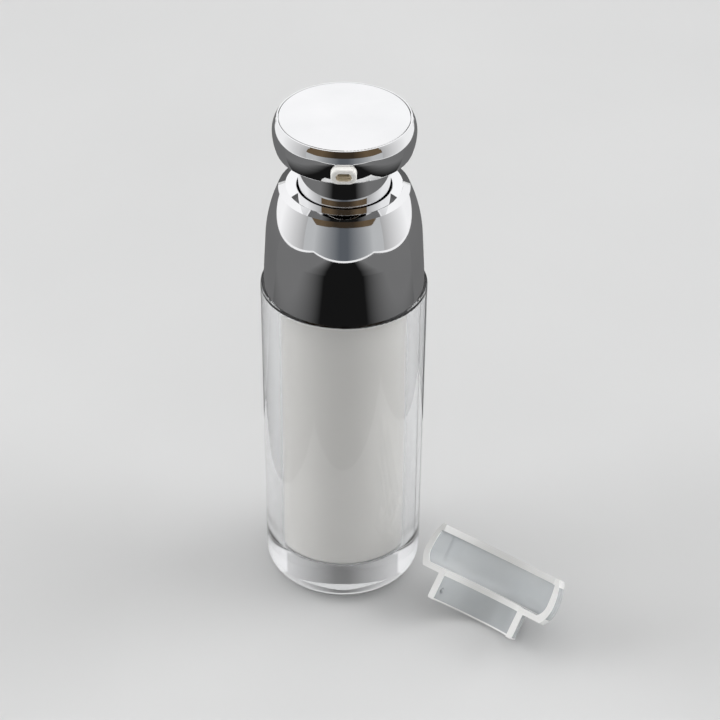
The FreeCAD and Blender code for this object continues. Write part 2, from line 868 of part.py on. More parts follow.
for index, item in enumerate(slotted.Shape.Edges, start=1):
    far = all(abs(point.Point.y + spout_reach.value) < d.same_place.value for point in item.Vertexes)
    wide = max(abs(point.Point.z - spout_height.value) for point in item.Vertexes) - slot_depth.value / 2
    broad = max(abs(point.Point.x) for point in item.Vertexes) - slot_width.value / 2
    if far and max(wide, broad) > d.same_place.value:
        mouth_edges.append("Edge%d" % index)
softened = spout.newObject("PartDesign::Fillet", "nozzle_spout_mouth")
softened.Base = (slotted, mouth_edges)
softened.setExpression("Radius", d.spout_round.text)
doc.recompute()

# silver collar: tapered skirt, arched shoulder, and a flat ledge with the sleeve's hole
liner_high = plug_top + d.flange_thickness
waist = liner_high + d.liner_gap
crown = collar_top - d.crown_drop
inner_bend = d.collar_bend - d.collar_wall
collar_radius = d.bottle_radius - d.collar_step
waist_out = collar_radius - d.collar_draft
collar_hole = sleeve_radius + d.collar_play
ledge_radius = collar_hole + d.collar_ledge
crown_radius = ledge_radius + d.crown_run
collar = new_body("collar")
collar_turned = turned(collar, [
    (collar_radius - d.collar_wall, shoulder),
    (collar_radius, shoulder),
    (waist_out, waist, d.collar_bend, LEFT),
    (crown_radius, crown),
    (ledge_radius, collar_top),
    (collar_hole, collar_top),
    (collar_hole, collar_under),
    (crown_radius - d.collar_nook, collar_under, inner_bend, RIGHT),
    (waist_out - d.collar_wall, waist),
])
collar_ledged = eased(collar, collar_turned, d.ledge_round, [(ledge_radius, collar_top)], "ledge")
eased(collar, collar_ledged, d.hole_round, [(collar_hole, collar_top)], "hole_edge")

# white liner that snaps on the neck's bead and holds the plug down
liner_low = shoulder + d.liner_lift
liner_bore = neck_radius + d.fit
liner_skin = collar_radius - d.collar_wall - d.fit
liner_hole = sleeve_radius + d.liner_play
taper = d.collar_draft / (waist - shoulder)
turned(new_body("collar_liner"), [
    (liner_bore, liner_low),
    (liner_skin - taper * (liner_low - shoulder), liner_low),
    (liner_skin - taper * (liner_high - shoulder), liner_high),
    (liner_hole, liner_high),
    (liner_hole, plug_top),
    (liner_bore, plug_top),
    (liner_bore, bead_high),
    (liner_bore + d.bead_rise, bead_middle),
    (liner_bore, bead_low),
])

# transport clip: half a barrel that wraps the head, on a shelf and half a tube that wraps the sleeve
clip = new_body("transport_clip")
tube_in = sleeve_radius + d.clip_play
tube_out = tube_in + d.clip_tube_wall
shelf_top = d.head_gap - d.clip_slack
tube_top = shelf_top - d.clip_shelf
clip_belly = tube_top + d.clip_belly_rise
clip_top = tube_top + d.clip_barrel
lip_low = clip_top - d.clip_lip
belly_in = head_radius + d.clip_ease
belly_out = belly_in + d.clip_wall
low_out = belly_out - d.clip_low_tuck
low_in = low_out - d.clip_wall
top_out = belly_out - d.clip_top_tuck
lip_root = belly_in - d.clip_lip_tuck
lip_in = lip_root - d.clip_lip_width
clip_turned = turned(clip, [
    (tube_in, ZERO),
    (tube_out, ZERO),
    (tube_out, tube_top),
    (low_out, tube_top, upright_bend(d.clip_low_tuck, d.clip_belly_rise), LEFT),
    (belly_out, clip_belly, upright_bend(d.clip_top_tuck, clip_top - clip_belly), LEFT),
    (top_out, clip_top),
    (lip_in, clip_top),
    (lip_in, lip_low),
    (lip_root, lip_low, upright_bend(d.clip_lip_tuck, lip_low - clip_belly), RIGHT),
    (belly_in, clip_belly, upright_bend(d.clip_low_tuck, clip_belly - shelf_top), RIGHT),
    (low_in, shelf_top),
    (tube_in, shelf_top),
], d.clip_wrap)

# a thumb tab at the back of the shelf
tab_out = low_out + d.clip_tab_rise
tab = outline(new_sketch(clip, "tab", "XY_Plane", tube_top), [
    (-d.clip_tab_width / TWO, low_in),
    (d.clip_tab_width / TWO, low_in),
    (d.clip_tab_width / TWO, tab_out),
    (-d.clip_tab_width / TWO, tab_out),
])
clip_tabbed = padded(clip, tab, d.clip_shelf, "tab_pad")
clip_feet = eased(clip, clip_tabbed, d.clip_edge_round, [(tube_out, ZERO)], "foot")
tab_edges = []
for index, item in enumerate(clip_feet.Shape.Edges, start=1):
    back = all(abs(point.Point.y - tab_out.value) < d.same_place.value for point in item.Vertexes)
    under = all(abs(point.Point.z - tube_top.value) < d.same_place.value for point in item.Vertexes)
    if back and under:
        tab_edges.append("Edge%d" % index)
tab_round = clip.newObject("PartDesign::Fillet", "transport_clip_tab_edge")
tab_round.Base = (clip_feet, tab_edges)
tab_round.setExpression("Radius", d.clip_edge_round.text)
doc.recompute()
rib_high = lip_low - shelf_top + d.fit * TWO
rib = outline(new_sketch(clip, "rib", "XY_Plane", shelf_top - d.fit), [
    (belly_in - d.clip_rib_rise, d.clip_rib_inset),
    (belly_in, d.clip_rib_inset),
    (belly_in, d.clip_rib_inset + d.clip_rib_width),
    (belly_in - d.clip_rib_rise, d.clip_rib_inset + d.clip_rib_width),
])
rib_pad = padded(clip, rib, rib_high, "rib_pad")
nub = clip.newObject("PartDesign::AdditiveSphere", "transport_clip_nub")
nub.setExpression("Radius", d.clip_nub_radius.text)
nub_across = root(tube_in * tube_in - d.clip_nub_inset * d.clip_nub_inset)
nub.setExpression("Placement.Base.x", nub_across.text)
nub.setExpression("Placement.Base.y", d.clip_nub_inset.text)
nub.setExpression("Placement.Base.z", d.clip_nub_height.text)
doc.recompute()
side_plane = next(item for item in clip.Origin.OriginFeatures if item.Role == "YZ_Plane")
pair = clip.newObject("PartDesign::Mirrored", "transport_clip_pair")
pair.Originals = [rib_pad, nub]
pair.MirrorPlane = (side_plane, [""])
clip.Tip = pair
doc.recompute()

# the clip lies on its back, on the tube's end and the thumb tab
lean = math.atan2((tab_out - tube_out).value, tube_top.value)
tipped = FreeCAD.Rotation(FreeCAD.Vector(1, 0, 0), math.degrees(lean) - 90)
swung = FreeCAD.Rotation(FreeCAD.Vector(0, 0, 1), -d.clip_heading.value)
clip_spot = FreeCAD.Vector(d.clip_right.value, -d.clip_front.value, 0)
clip.Placement = FreeCAD.Placement(clip_spot, swung.multiply(tipped))
doc.recompute()
clip_spot.z = -clip.Shape.optimalBoundingBox().ZMin
clip.Placement.Base = clip_spot
doc.recompute()

os.makedirs("parts", exist_ok=True)
for item in doc.Objects:
    if "Invalid" in item.State or "Error" in item.State:
        raise RuntimeError("%s is in the state %s" % (item.Name, item.State))
for piece in pieces:
    shape = piece.Shape
    if shape.isNull() or not shape.isValid() or len(shape.Solids) != 1:
        raise RuntimeError("%s is not one sound solid" % piece.Label)
    shape.exportStep("parts/%s.step" % piece.Label)
    box = shape.BoundBox
    print("%-16s %9.2f mm3  x %.2f %.2f  y %.2f %.2f  z %.2f %.2f" % (
        piece.Label, shape.Volume, box.XMin, box.XMax, box.YMin, box.YMax, box.ZMin, box.ZMax))
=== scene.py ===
# %% [markdown]
# # A clear airless pump bottle
# The bottle is a stack of turned plastic parts: a thick clear outer bottle, a white cartridge that hangs
# in it, a mirror-silver collar and press head, a small white spout, and a milky half-shell clip that lies
# beside it.  The solids come ready made and in place, so this lesson is about finishes, light and camera.
# The first cell empties the scene and loads the solids.

# %% Load the solids
import json
import math

import bpy
from mathutils import Matrix, Vector

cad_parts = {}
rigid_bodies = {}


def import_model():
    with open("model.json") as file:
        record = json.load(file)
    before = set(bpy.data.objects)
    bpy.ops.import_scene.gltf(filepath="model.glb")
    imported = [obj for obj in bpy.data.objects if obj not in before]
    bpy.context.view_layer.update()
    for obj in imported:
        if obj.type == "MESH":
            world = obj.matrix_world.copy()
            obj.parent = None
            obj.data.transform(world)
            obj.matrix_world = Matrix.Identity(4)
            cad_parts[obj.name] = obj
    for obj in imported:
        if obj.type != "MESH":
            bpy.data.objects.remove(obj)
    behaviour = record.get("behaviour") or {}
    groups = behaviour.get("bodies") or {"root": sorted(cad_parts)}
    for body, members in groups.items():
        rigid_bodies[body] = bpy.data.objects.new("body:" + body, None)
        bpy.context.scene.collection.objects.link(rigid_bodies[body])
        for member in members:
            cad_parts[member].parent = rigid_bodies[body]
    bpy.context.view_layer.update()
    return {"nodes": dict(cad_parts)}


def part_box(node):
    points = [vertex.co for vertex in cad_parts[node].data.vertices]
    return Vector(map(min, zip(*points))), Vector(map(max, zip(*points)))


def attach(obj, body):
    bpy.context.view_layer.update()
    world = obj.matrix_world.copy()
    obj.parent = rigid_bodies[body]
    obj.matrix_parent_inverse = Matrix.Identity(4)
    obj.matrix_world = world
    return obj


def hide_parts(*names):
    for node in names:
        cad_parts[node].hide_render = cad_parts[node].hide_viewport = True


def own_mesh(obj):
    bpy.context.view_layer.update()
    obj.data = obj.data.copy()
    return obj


for leftover in list(bpy.data.objects):
    bpy.data.objects.remove(leftover)
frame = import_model()
scene = bpy.context.scene
scene.view_settings.view_transform = "Standard"

# %% [markdown]
# ## The camera
# A small object seen from close by with a long lens: the sides of the bottle hardly run together, and the
# top of the head shows as a flat ellipse.  The place was worked out from the ellipses of the head, collar
# and base, so the numbers below are a real camera's: how high it looks down from, how far away it stands,
# and how much it leans.  A rotation matrix takes the three directions as its columns.

# %% Camera
LOOK_DOWN = math.radians(36.51)
LEAN = math.radians(0.51)
STAND_OFF = 0.52952
LOOK_AT = Vector((0.0036, 0.0, 0.05639))

ahead = Vector((0.0, math.cos(LOOK_DOWN), -math.sin(LOOK_DOWN)))
across = Vector((1.0, 0.0, 0.0))
upward = across.cross(ahead)
right_hand = across * math.cos(LEAN) + upward * math.sin(LEAN)
head_up = upward * math.cos(LEAN) - across * math.sin(LEAN)
turn = Matrix((right_hand, head_up, -ahead)).transposed().to_4x4()

lens = bpy.data.cameras.new("camera")
lens.lens = 120.0
lens.sensor_width = 36.0
lens.clip_start = 0.01
camera = bpy.data.objects.new("camera", lens)
camera.matrix_world = Matrix.Translation(LOOK_AT - ahead * STAND_OFF) @ turn
scene.collection.objects.link(camera)
scene.camera = camera
print("camera stands at", [round(v, 4) for v in camera.matrix_world.translation])

# %% [markdown]
# ## Small tools for finishes
# Every finish is one Principled shader.  What makes plastic look like plastic is not its colour but what
# changes over it: a gloss that is never quite even, and a surface that is never quite flat.  These helpers
# add that with noise read from Object coordinates, in metres, so a scale of 500 means patches of 2 mm.
# A value that is the same all over is set on the shader's own socket.

# %% Helpers for finishes
PLASTIC_INDEX = 1.49
NOISE_LOW, NOISE_HIGH = 0.3, 0.7


def empty_board(owner):
    """The node board of a material or world, with nothing on it."""
    owner.use_nodes = True
    owner.node_tree.nodes.clear()
    return owner.node_tree


def show(board, shader, kind="ShaderNodeOutputMaterial"):
    board.links.new(shader, board.nodes.new(kind).inputs["Surface"])


def new_finish(name):
    """A material with nothing on its board but a Principled shader and the output."""
    material = bpy.data.materials.new(name)
    board = empty_board(material)
    shader = board.nodes.new("ShaderNodeBsdfPrincipled")
    show(board, shader.outputs["BSDF"])
    return material, board, shader


def object_place(board, stretch=(1.0, 1.0, 1.0)):
    """Object coordinates, drawn out along an axis where a pattern runs that way."""
    where = board.nodes.new("ShaderNodeTexCoord")
    mapping = board.nodes.new("ShaderNodeMapping")
    mapping.inputs["Scale"].default_value = stretch
    board.links.new(where.outputs["Object"], mapping.inputs["Vector"])
    return mapping.outputs["Vector"]


def clouds(board, place, scale, detail=3.0):
    noise = board.nodes.new("ShaderNodeTexNoise")
    noise.inputs["Scale"].default_value = scale
    noise.inputs["Detail"].default_value = detail
    board.links.new(place, noise.inputs["Vector"])
    return noise.outputs["Fac"]


def spread(board, value, low, high, start=NOISE_LOW, end=NOISE_HIGH):
    """Noise lives around the middle of its range, so that middle is spread from low to high."""
    ranged = board.nodes.new("ShaderNodeMapRange")
    for socket, number in (("From Min", start), ("From Max", end), ("To Min", low), ("To Max", high)):
        ranged.inputs[socket].default_value = number
    board.links.new(value, ranged.inputs["Value"])
    return ranged.outputs["Result"]


def tones(board, value, dark, light):
    ramp = board.nodes.new("ShaderNodeValToRGB")
    for stop, position, tone in zip(ramp.color_ramp.elements, (NOISE_LOW, NOISE_HIGH), (dark, light)):
        stop.position = position
        stop.color = (*tone, 1.0)
    board.links.new(value, ramp.inputs["Fac"])
    return ramp.outputs["Color"]


def dents(board, shader, height, depth, strength=1.0):
    bump = board.nodes.new("ShaderNodeBump")
    bump.inputs["Distance"].default_value = depth
    bump.inputs["Strength"].default_value = strength
    board.links.new(height, bump.inputs["Height"])
    board.links.new(bump.outputs["Normal"], shader.inputs["Normal"])


def dress(material, *nodes):
    for node in nodes:
        for slot in frame["nodes"][node].material_slots:
            slot.material = material
    print(material.name, "on", ", ".join(nodes))

# %% [markdown]
# ## Sums and choices on a board
# A finish that changes from place to place needs a little arithmetic: compare a place with a size, join two
# tests, and let the answer, 0 or 1, choose between two tones or two shaders.

# %% Helpers for sums and choices
def reckon(board, operation, first, second, third=0.0):
    """One sum of a socket with a socket or a number."""
    node = board.nodes.new("ShaderNodeMath")
    node.operation = operation
    node.inputs[2].default_value = third
    board.links.new(first, node.inputs[0])
    if isinstance(second, float):
        node.inputs[1].default_value = second
    else:
        board.links.new(second, node.inputs[1])
    return node.outputs["Value"]


def axes(board):
    """The three numbers of the place, one socket each."""
    split = board.nodes.new("ShaderNodeSeparateXYZ")
    board.links.new(object_place(board), split.inputs["Vector"])
    return split.outputs


def along(board, place, direction, origin):
    """How far a place lies from the origin along a fixed direction."""
    dot = board.nodes.new("ShaderNodeVectorMath")
    dot.operation = "DOT_PRODUCT"
    dot.inputs[1].default_value = direction
    board.links.new(place, dot.inputs[0])
    return reckon(board, "SUBTRACT", dot.outputs["Value"], direction.dot(origin))


def choose_tone(board, answer, at_zero, at_one):
    """A Mix node has sockets for several kinds of value; its colours are 6 and 7 in, and 2 out."""
    mix = board.nodes.new("ShaderNodeMix")
    mix.data_type = "RGBA"
    for socket, given in ((0, answer), (6, at_zero), (7, at_one)):
        board.links.new(given, mix.inputs[socket])
    return mix.outputs[2]


def choose_shader(board, answer, at_zero, at_one):
    mix = board.nodes.new("ShaderNodeMixShader")
    for socket, given in enumerate((answer, at_zero, at_one)):
        board.links.new(given, mix.inputs[socket])
    return mix.outputs["Shader"]

# %% [markdown]
# ## Clear acrylic
# The outer bottle is moulded from clear acrylic with walls of 4 mm and a base of 9 mm.  Light bends in it
# and is trapped in the thick wall, which gives the silvery bands beside the white cartridge.  Full
# transmission with acrylic's index does that by itself.  A path tracer finds little light through glass,
# so rays that look for lamps pass straight through and the cartridge inside is lit.  Real mouldings
# carry faint waves where the plastic flowed, and a few hazy patches from handling.

# %% Clear acrylic
def clear_acrylic():
    material, board, shader = new_finish("clear_acrylic_moulded")
    shader.inputs["Base Color"].default_value = (0.945, 0.952, 0.958, 1.0)
    shader.inputs["Transmission Weight"].default_value = 1.0
    shader.inputs["IOR"].default_value = PLASTIC_INDEX
    place = object_place(board)
    board.links.new(spread(board, clouds(board, place, 90.0), 0.0, 0.035), shader.inputs["Roughness"])
    dents(board, shader, clouds(board, object_place(board, (1.0, 1.0, 0.35)), 140.0, 1.0), 0.00001, 0.35)
    clear = board.nodes.new("ShaderNodeBsdfTransparent")
    clear.inputs["Color"].default_value = (0.97, 0.975, 0.98, 1.0)
    path = board.nodes.new("ShaderNodeLightPath")
    surface = choose_shader(board, path.outputs["Is Shadow Ray"],
                            shader.outputs["BSDF"], clear.outputs["BSDF"])
    board.links.new(surface, board.get_output_node("ALL").inputs["Surface"])
    return material


dress(clear_acrylic(), "outer_bottle")

# %% [markdown]
# ## Mirror silver
# The collar, sleeve, head and its top plate are plastic with a thin coat of aluminium under lacquer.  It
# mirrors almost perfectly, so what it looks like is what stands around it.  Two things give it away as
# coated plastic: the lacquer's very slight orange peel, and a bloom that comes and goes over a few
# millimetres.  The top plate is pressed flat and gets finer peel than the curved shell.

# %% Mirror silver
def mirror_silver(name, bloom, peel):
    material, board, shader = new_finish(name)
    shader.inputs["Metallic"].default_value = 1.0
    place = object_place(board)
    board.links.new(tones(board, clouds(board, place, 60.0), (0.86, 0.865, 0.87), (0.93, 0.93, 0.935)),
                    shader.inputs["Base Color"])
    board.links.new(spread(board, clouds(board, place, 220.0), 0.015, bloom), shader.inputs["Roughness"])
    dents(board, shader, clouds(board, place, 300.0, 1.0), peel, 0.2)
    return material


dress(mirror_silver("mirror_silver_collar", 0.05, 0.000002), "collar", "neck_sleeve")
dress(mirror_silver("mirror_silver_head", 0.04, 0.0000015), "head_shell")
dress(mirror_silver("mirror_silver_plate", 0.035, 0.000001), "top_plate")

# %% [markdown]
# ## White plastic
# The cartridge and the pump's hard parts are white polypropylene, slightly warm, with a satin gloss from
# the mould.  Two noises do the work: a wide one that shifts the tone by a hair, and a fine one for the
# mould's grain.

# %% White plastic
def white_plastic(name, light, gloss, grain):
    material, board, shader = new_finish(name)
    shade = tuple(value * 0.965 for value in light)
    place = object_place(board)
    board.links.new(tones(board, clouds(board, place, 70.0), shade, light), shader.inputs["Base Color"])
    board.links.new(spread(board, clouds(board, place, 900.0), gloss, gloss + 0.14),
                    shader.inputs["Roughness"])
    shader.inputs["IOR"].default_value = PLASTIC_INDEX
    dents(board, shader, clouds(board, place, 3200.0, 2.0), grain, 0.5)
    return material


dress(white_plastic("white_cartridge", (0.89, 0.866, 0.83), 0.34, 0.000004), "inner_bottle")
dress(white_plastic("white_pump_parts", (0.86, 0.86, 0.85), 0.3, 0.000004), "pump_plug", "pump_chamber",
      "valve_cage", "chamber_cap", "pump_stem", "stem_poppet", "actuator_core", "collar_liner")

# %% [markdown]
# ## The spout
# The spout is the same plastic with a higher gloss.  Its sunk mouth gets a darker, warmer tone, painted shade
# for the recess.  The mouth is found by place: behind the front face and inside the slot's width and height.

# %% Spout
spout_low, spout_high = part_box("nozzle_spout")
SPOUT_FACE = spout_low.y
SPOUT_MIDDLE = (spout_low.z + spout_high.z) / 2
SLOT_HALF_WIDTH = 0.00162
SLOT_HALF_HEIGHT = 0.00092
FACE_SKIN = 0.00008


def spout_white():
    material, board, shader = new_finish("white_spout")
    axis = axes(board)
    behind = reckon(board, "GREATER_THAN", axis["Y"], SPOUT_FACE + FACE_SKIN)
    in_width = reckon(board, "COMPARE", axis["X"], 0.0, SLOT_HALF_WIDTH)
    in_height = reckon(board, "COMPARE", axis["Z"], SPOUT_MIDDLE, SLOT_HALF_HEIGHT)
    in_slot = reckon(board, "MULTIPLY", in_width, in_height)
    mouth = reckon(board, "MULTIPLY", behind, in_slot)
    place = object_place(board)
    white = tones(board, clouds(board, place, 400.0), (0.84, 0.83, 0.8), (0.89, 0.88, 0.86))
    # painted shade: the sunk mouth is given a darker, warmer tone where the recess lies in shadow
    painted_recess_shade = tones(board, clouds(board, place, 1500.0), (0.78, 0.7, 0.56), (0.88, 0.81, 0.68))
    board.links.new(choose_tone(board, mouth, white, painted_recess_shade), shader.inputs["Base Color"])
    board.links.new(spread(board, clouds(board, place, 1200.0), 0.2, 0.32), shader.inputs["Roughness"])
    dents(board, shader, clouds(board, place, 2600.0, 2.0), 0.000004, 0.4)
    return material


dress(spout_white(), "nozzle_spout")

# %% [markdown]
# ## Soft seals
# The follower, the sliding piston, the gasket and the stem's wiper are soft polyethylene: duller than the
# hard parts, a little greyer, with a fine dry grain.

# %% Soft seals
def soft_seal():
    material, board, shader = new_finish("soft_seal_white")
    place = object_place(board)
    board.links.new(tones(board, clouds(board, place, 300.0), (0.78, 0.78, 0.76), (0.86, 0.86, 0.84)),
                    shader.inputs["Base Color"])
    board.links.new(spread(board, clouds(board, place, 1400.0), 0.5, 0.68), shader.inputs["Roughness"])
    dents(board, shader, clouds(board, place, 4200.0, 2.0), 0.000006, 0.6)
    return material


dress(soft_seal(), "follower_piston", "pump_piston", "mouth_gasket", "stem_wiper")

# %% [markdown]
# ## Steel
# The inlet ball is ground and polished; the spring is drawn wire.  Drawing leaves long scratches along
# the wire, which read as an uneven gloss.

# %% Steel
def steel(name, low, high):
    material, board, shader = new_finish(name)
    shader.inputs["Metallic"].default_value = 1.0
    place = object_place(board)
    board.links.new(tones(board, clouds(board, place, 350.0), (0.5, 0.51, 0.53), (0.66, 0.67, 0.69)),
                    shader.inputs["Base Color"])
    board.links.new(spread(board, clouds(board, place, 1800.0, 4.0), low, high), shader.inputs["Roughness"])
    dents(board, shader, clouds(board, place, 5000.0, 2.0), 0.000003, 0.5)
    return material


dress(steel("steel_ball", 0.05, 0.14), "inlet_ball")
wire_steel = steel("steel_wire", 0.2, 0.42)

# %% [markdown]
# ## Milky clip
# The clip is natural polypropylene with no pigment: milky, slightly blue, and thin enough to let the
# floor show through.  Where the plastic is thick it reads white: the shelf between tube and barrel, the lip
# at the barrel's top, the tube's end, and the two cut faces.  Those are found by place, measured along the
# clip's own axis and back from the cut.  The clip lies turned and tipped, so that axis is worked out first.

# %% The way the clip lies
CLIP_HEADING = math.radians(37.05)
CLIP_LEAN = math.radians(44.514)
CLIP_SPOT = Vector((0.02825, -0.0305, 0.00793))
CUT_SKIN = 0.00025
BAND_SKIN = 0.00005
THICK_BANDS = ((0.0, 0.0003), (0.00595, 0.00725), (0.01495, 0.01645))

lie = Matrix.Rotation(-CLIP_HEADING, 3, "Z") @ Matrix.Rotation(CLIP_LEAN - math.pi / 2, 3, "X")
clip_axis = lie @ Vector((0.0, 0.0, 1.0))
clip_back = lie @ Vector((0.0, 1.0, 0.0))
print("clip's axis", [round(v, 3) for v in clip_axis], "its back", [round(v, 3) for v in clip_back])

# %% Milky clip
def milky_clip():
    material, board, shader = new_finish("milky_polypropylene")
    place = object_place(board)
    thick = reckon(board, "LESS_THAN", along(board, place, clip_back, CLIP_SPOT), CUT_SKIN)
    height = along(board, place, clip_axis, CLIP_SPOT)
    for low, high in THICK_BANDS:
        band = reckon(board, "COMPARE", height, (low + high) / 2, (high - low) / 2 + BAND_SKIN)
        thick = reckon(board, "MAXIMUM", thick, band)
    mottle = clouds(board, place, 110.0)
    shell = tones(board, mottle, (0.82, 0.855, 0.88), (0.87, 0.895, 0.91))
    white = tones(board, mottle, (0.9, 0.9, 0.895), (0.93, 0.93, 0.925))
    board.links.new(choose_tone(board, thick, shell, white), shader.inputs["Base Color"])
    board.links.new(spread(board, thick, 0.62, 0.12, 0.0, 1.0), shader.inputs["Transmission Weight"])
    board.links.new(spread(board, clouds(board, place, 600.0), 0.14, 0.24), shader.inputs["Roughness"])
    shader.inputs["IOR"].default_value = PLASTIC_INDEX
    dents(board, shader, clouds(board, place, 120.0, 1.0), 0.00001, 0.12)
    return material


dress(milky_clip(), "transport_clip")

# %% [markdown]
# ## The return spring
# A wound wire is one curve with a round section: a spiral of constant radius, swept by a circle.  Geometry
# Nodes has both, so the tree below needs only the sizes of the wire and the coil.  The result is turned
# into a plain mesh, because it has to shorten as the head goes down.

# %% Spring tree
POINTS_IN_A_TURN = 72
POINTS_ROUND_THE_WIRE = 20


def wound_wire_tree():
    tree = bpy.data.node_groups.new("wound_wire", "GeometryNodeTree")
    kinds = {"Coil radius": "Float", "Wire radius": "Float", "Height": "Float", "Foot": "Vector",
             "Turns": "Float", "Finish": "Material"}
    sizes = {name: tree.interface.new_socket(name, in_out="INPUT", socket_type="NodeSocket" + kind).identifier
             for name, kind in kinds.items()}
    tree.interface.new_socket("Wire", in_out="OUTPUT", socket_type="NodeSocketGeometry")
    given = tree.nodes.new("NodeGroupInput")
    spiral = tree.nodes.new("GeometryNodeCurveSpiral")
    spiral.inputs["Resolution"].default_value = POINTS_IN_A_TURN
    ring = tree.nodes.new("GeometryNodeCurvePrimitiveCircle")
    ring.inputs["Resolution"].default_value = POINTS_ROUND_THE_WIRE
    sweep = tree.nodes.new("GeometryNodeCurveToMesh")
    sweep.inputs["Fill Caps"].default_value = True
    lift = tree.nodes.new("GeometryNodeTransform")
    smooth = tree.nodes.new("GeometryNodeSetShadeSmooth")
    realize = tree.nodes.new("GeometryNodeRealizeInstances")
    finish = tree.nodes.new("GeometryNodeSetMaterial")
    result = tree.nodes.new("NodeGroupOutput")
    link = tree.links.new
    link(given.outputs["Coil radius"], spiral.inputs["Start Radius"])
    link(given.outputs["Coil radius"], spiral.inputs["End Radius"])
    link(given.outputs["Height"], spiral.inputs["Height"])
    link(given.outputs["Turns"], spiral.inputs["Rotations"])
    link(given.outputs["Wire radius"], ring.inputs["Radius"])
    link(spiral.outputs["Curve"], sweep.inputs["Curve"])
    link(ring.outputs["Curve"], sweep.inputs["Profile Curve"])
    link(sweep.outputs["Mesh"], lift.inputs["Geometry"])
    link(given.outputs["Foot"], lift.inputs["Translation"])
    link(lift.outputs["Geometry"], smooth.inputs["Geometry"])
    link(smooth.outputs["Geometry"], realize.inputs["Geometry"])
    link(realize.outputs["Geometry"], finish.inputs["Geometry"])
    link(given.outputs["Finish"], finish.inputs["Material"])
    link(finish.outputs["Geometry"], result.inputs["Wire"])
    return tree, sizes

# %% Spring
WIRE_RADIUS = 0.0004
TURNS = 6.0
spring_low, spring_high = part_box("return_spring")
coil_radius = spring_high.x - WIRE_RADIUS
coil_rise = spring_high.z - spring_low.z - 2 * WIRE_RADIUS

tree, sizes = wound_wire_tree()
winder = bpy.data.objects.new("spring_winder", bpy.data.meshes.new("spring_winder"))
scene.collection.objects.link(winder)
modifier = winder.modifiers.new("wound wire", "NODES")
modifier.node_group = tree
foot = (0.0, 0.0, spring_low.z + WIRE_RADIUS)
for name, value in (("Coil radius", coil_radius), ("Wire radius", WIRE_RADIUS), ("Height", coil_rise),
                    ("Foot", foot), ("Turns", TURNS), ("Finish", wire_steel)):
    modifier[sizes[name]] = value
wound = winder.evaluated_get(bpy.context.evaluated_depsgraph_get())
spring_mesh = bpy.data.meshes.new_from_object(wound)
bpy.data.objects.remove(winder)
spring = bpy.data.objects.new("spring_wire", spring_mesh)
scene.collection.objects.link(spring)
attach(spring, "bottle")
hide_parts("return_spring")
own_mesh(spring)
print("spring:", len(spring_mesh.vertices), "points, coil radius", round(coil_radius, 5))

# %% [markdown]
# ## Floor
# A plain pale sweep.  It is wide enough to be the whole background of the picture, has a paper's slight
# tooth, and takes the object's shadow.

# %% Floor
FLOOR_HALF = 3.0
FLOOR_DROP = 0.00005


def rectangle(first, second):
    """The four corners of a rectangle, one after the other, from its spans along two axes."""
    return [(first[0], second[0]), (first[1], second[0]), (first[1], second[1]), (first[0], second[1])]


def flat_sheet(name, corners):
    mesh = bpy.data.meshes.new(name)
    mesh.from_pydata(corners, [], [(0, 1, 2, 3)])
    sheet = bpy.data.objects.new(name, mesh)
    scene.collection.objects.link(sheet)
    return sheet


def level(name, xs, ys, height):
    return flat_sheet(name, [(x, y, height) for x, y in rectangle(xs, ys)])


floor_span = (-FLOOR_HALF, FLOOR_HALF)
floor = level("floor", floor_span, floor_span, -FLOOR_DROP)
paper, board, shader = new_finish("pale_paper")
place = object_place(board)
board.links.new(tones(board, clouds(board, place, 6.0), (0.60, 0.605, 0.61), (0.64, 0.645, 0.65)),
                shader.inputs["Base Color"])
shader.inputs["Roughness"].default_value = 0.75
shader.inputs["Specular IOR Level"].default_value = 0.2
dents(board, shader, clouds(board, place, 2200.0), 0.00001, 0.4)
floor.data.materials.append(paper)
print("floor", 2 * FLOOR_HALF, "m wide")

# %% [markdown]
# ## Light
# Three wide soft lights, from above and low from each side, and a weak even sky light the object.  They are
# far off, so the floor is lit alike everywhere.  The side lights leave the cartridge a shade darker in the
# middle than at its edges.  A mirror shows the room, and so does clear plastic, so what they see is set apart
# from what lights: the lights are hidden from reflections, and cards build a small tent that only reflections
# see.  Its ceiling runs far back, so that it fills the flat top plate.  Its table is dark, a thin white strip
# runs round its foot, and above that its walls are pale and its front is grey, then brown.  The thick clear
# base is a prism that looks up and back, into a grey loft.

# %% Lights
def wide_light(name, place, strength, breadth):
    """A far light, as broad as an angle, that shines from a place to the origin and is not seen itself."""
    lamp = bpy.data.lights.new(name, "SUN")
    lamp.energy = strength
    lamp.angle = math.radians(breadth)
    holder = bpy.data.objects.new(name, lamp)
    holder.location = place
    holder.rotation_euler = (-Vector(place)).to_track_quat("-Z", "Y").to_euler()
    holder.visible_camera = False
    holder.visible_glossy = False
    holder.visible_transmission = False
    scene.collection.objects.link(holder)


wide_light("wide_light_above", place=(0.0, 0.2, 1.4), strength=1.25, breadth=100.0)
for side, name in ((-1, "left"), (1, "right")):
    wide_light("wide_light_" + name, place=(side * 2.4, 0.28, 1.04), strength=2.0, breadth=52.0)

# %% Sky
SKY_TO_LOOK_AT = (0.71, 0.712, 0.71)
SKY_TO_LIGHT_BY = (0.25, 0.245, 0.236)


def sky_tone(board, tone):
    background = board.nodes.new("ShaderNodeBackground")
    background.inputs["Color"].default_value = (*tone, 1.0)
    return background.outputs["Background"]


scene.world = bpy.data.worlds.new("even_sky")
sky = empty_board(scene.world)
path = sky.nodes.new("ShaderNodeLightPath")
looks = path.outputs["Is Camera Ray"]
for kind in ("Is Glossy Ray", "Is Transmission Ray"):
    looks = reckon(sky, "MAXIMUM", looks, path.outputs[kind])
both_skies = choose_shader(sky, looks, sky_tone(sky, SKY_TO_LIGHT_BY), sky_tone(sky, SKY_TO_LOOK_AT))
show(sky, both_skies, "ShaderNodeOutputWorld")
print("sky: one tone to look at, a weaker one to light by")

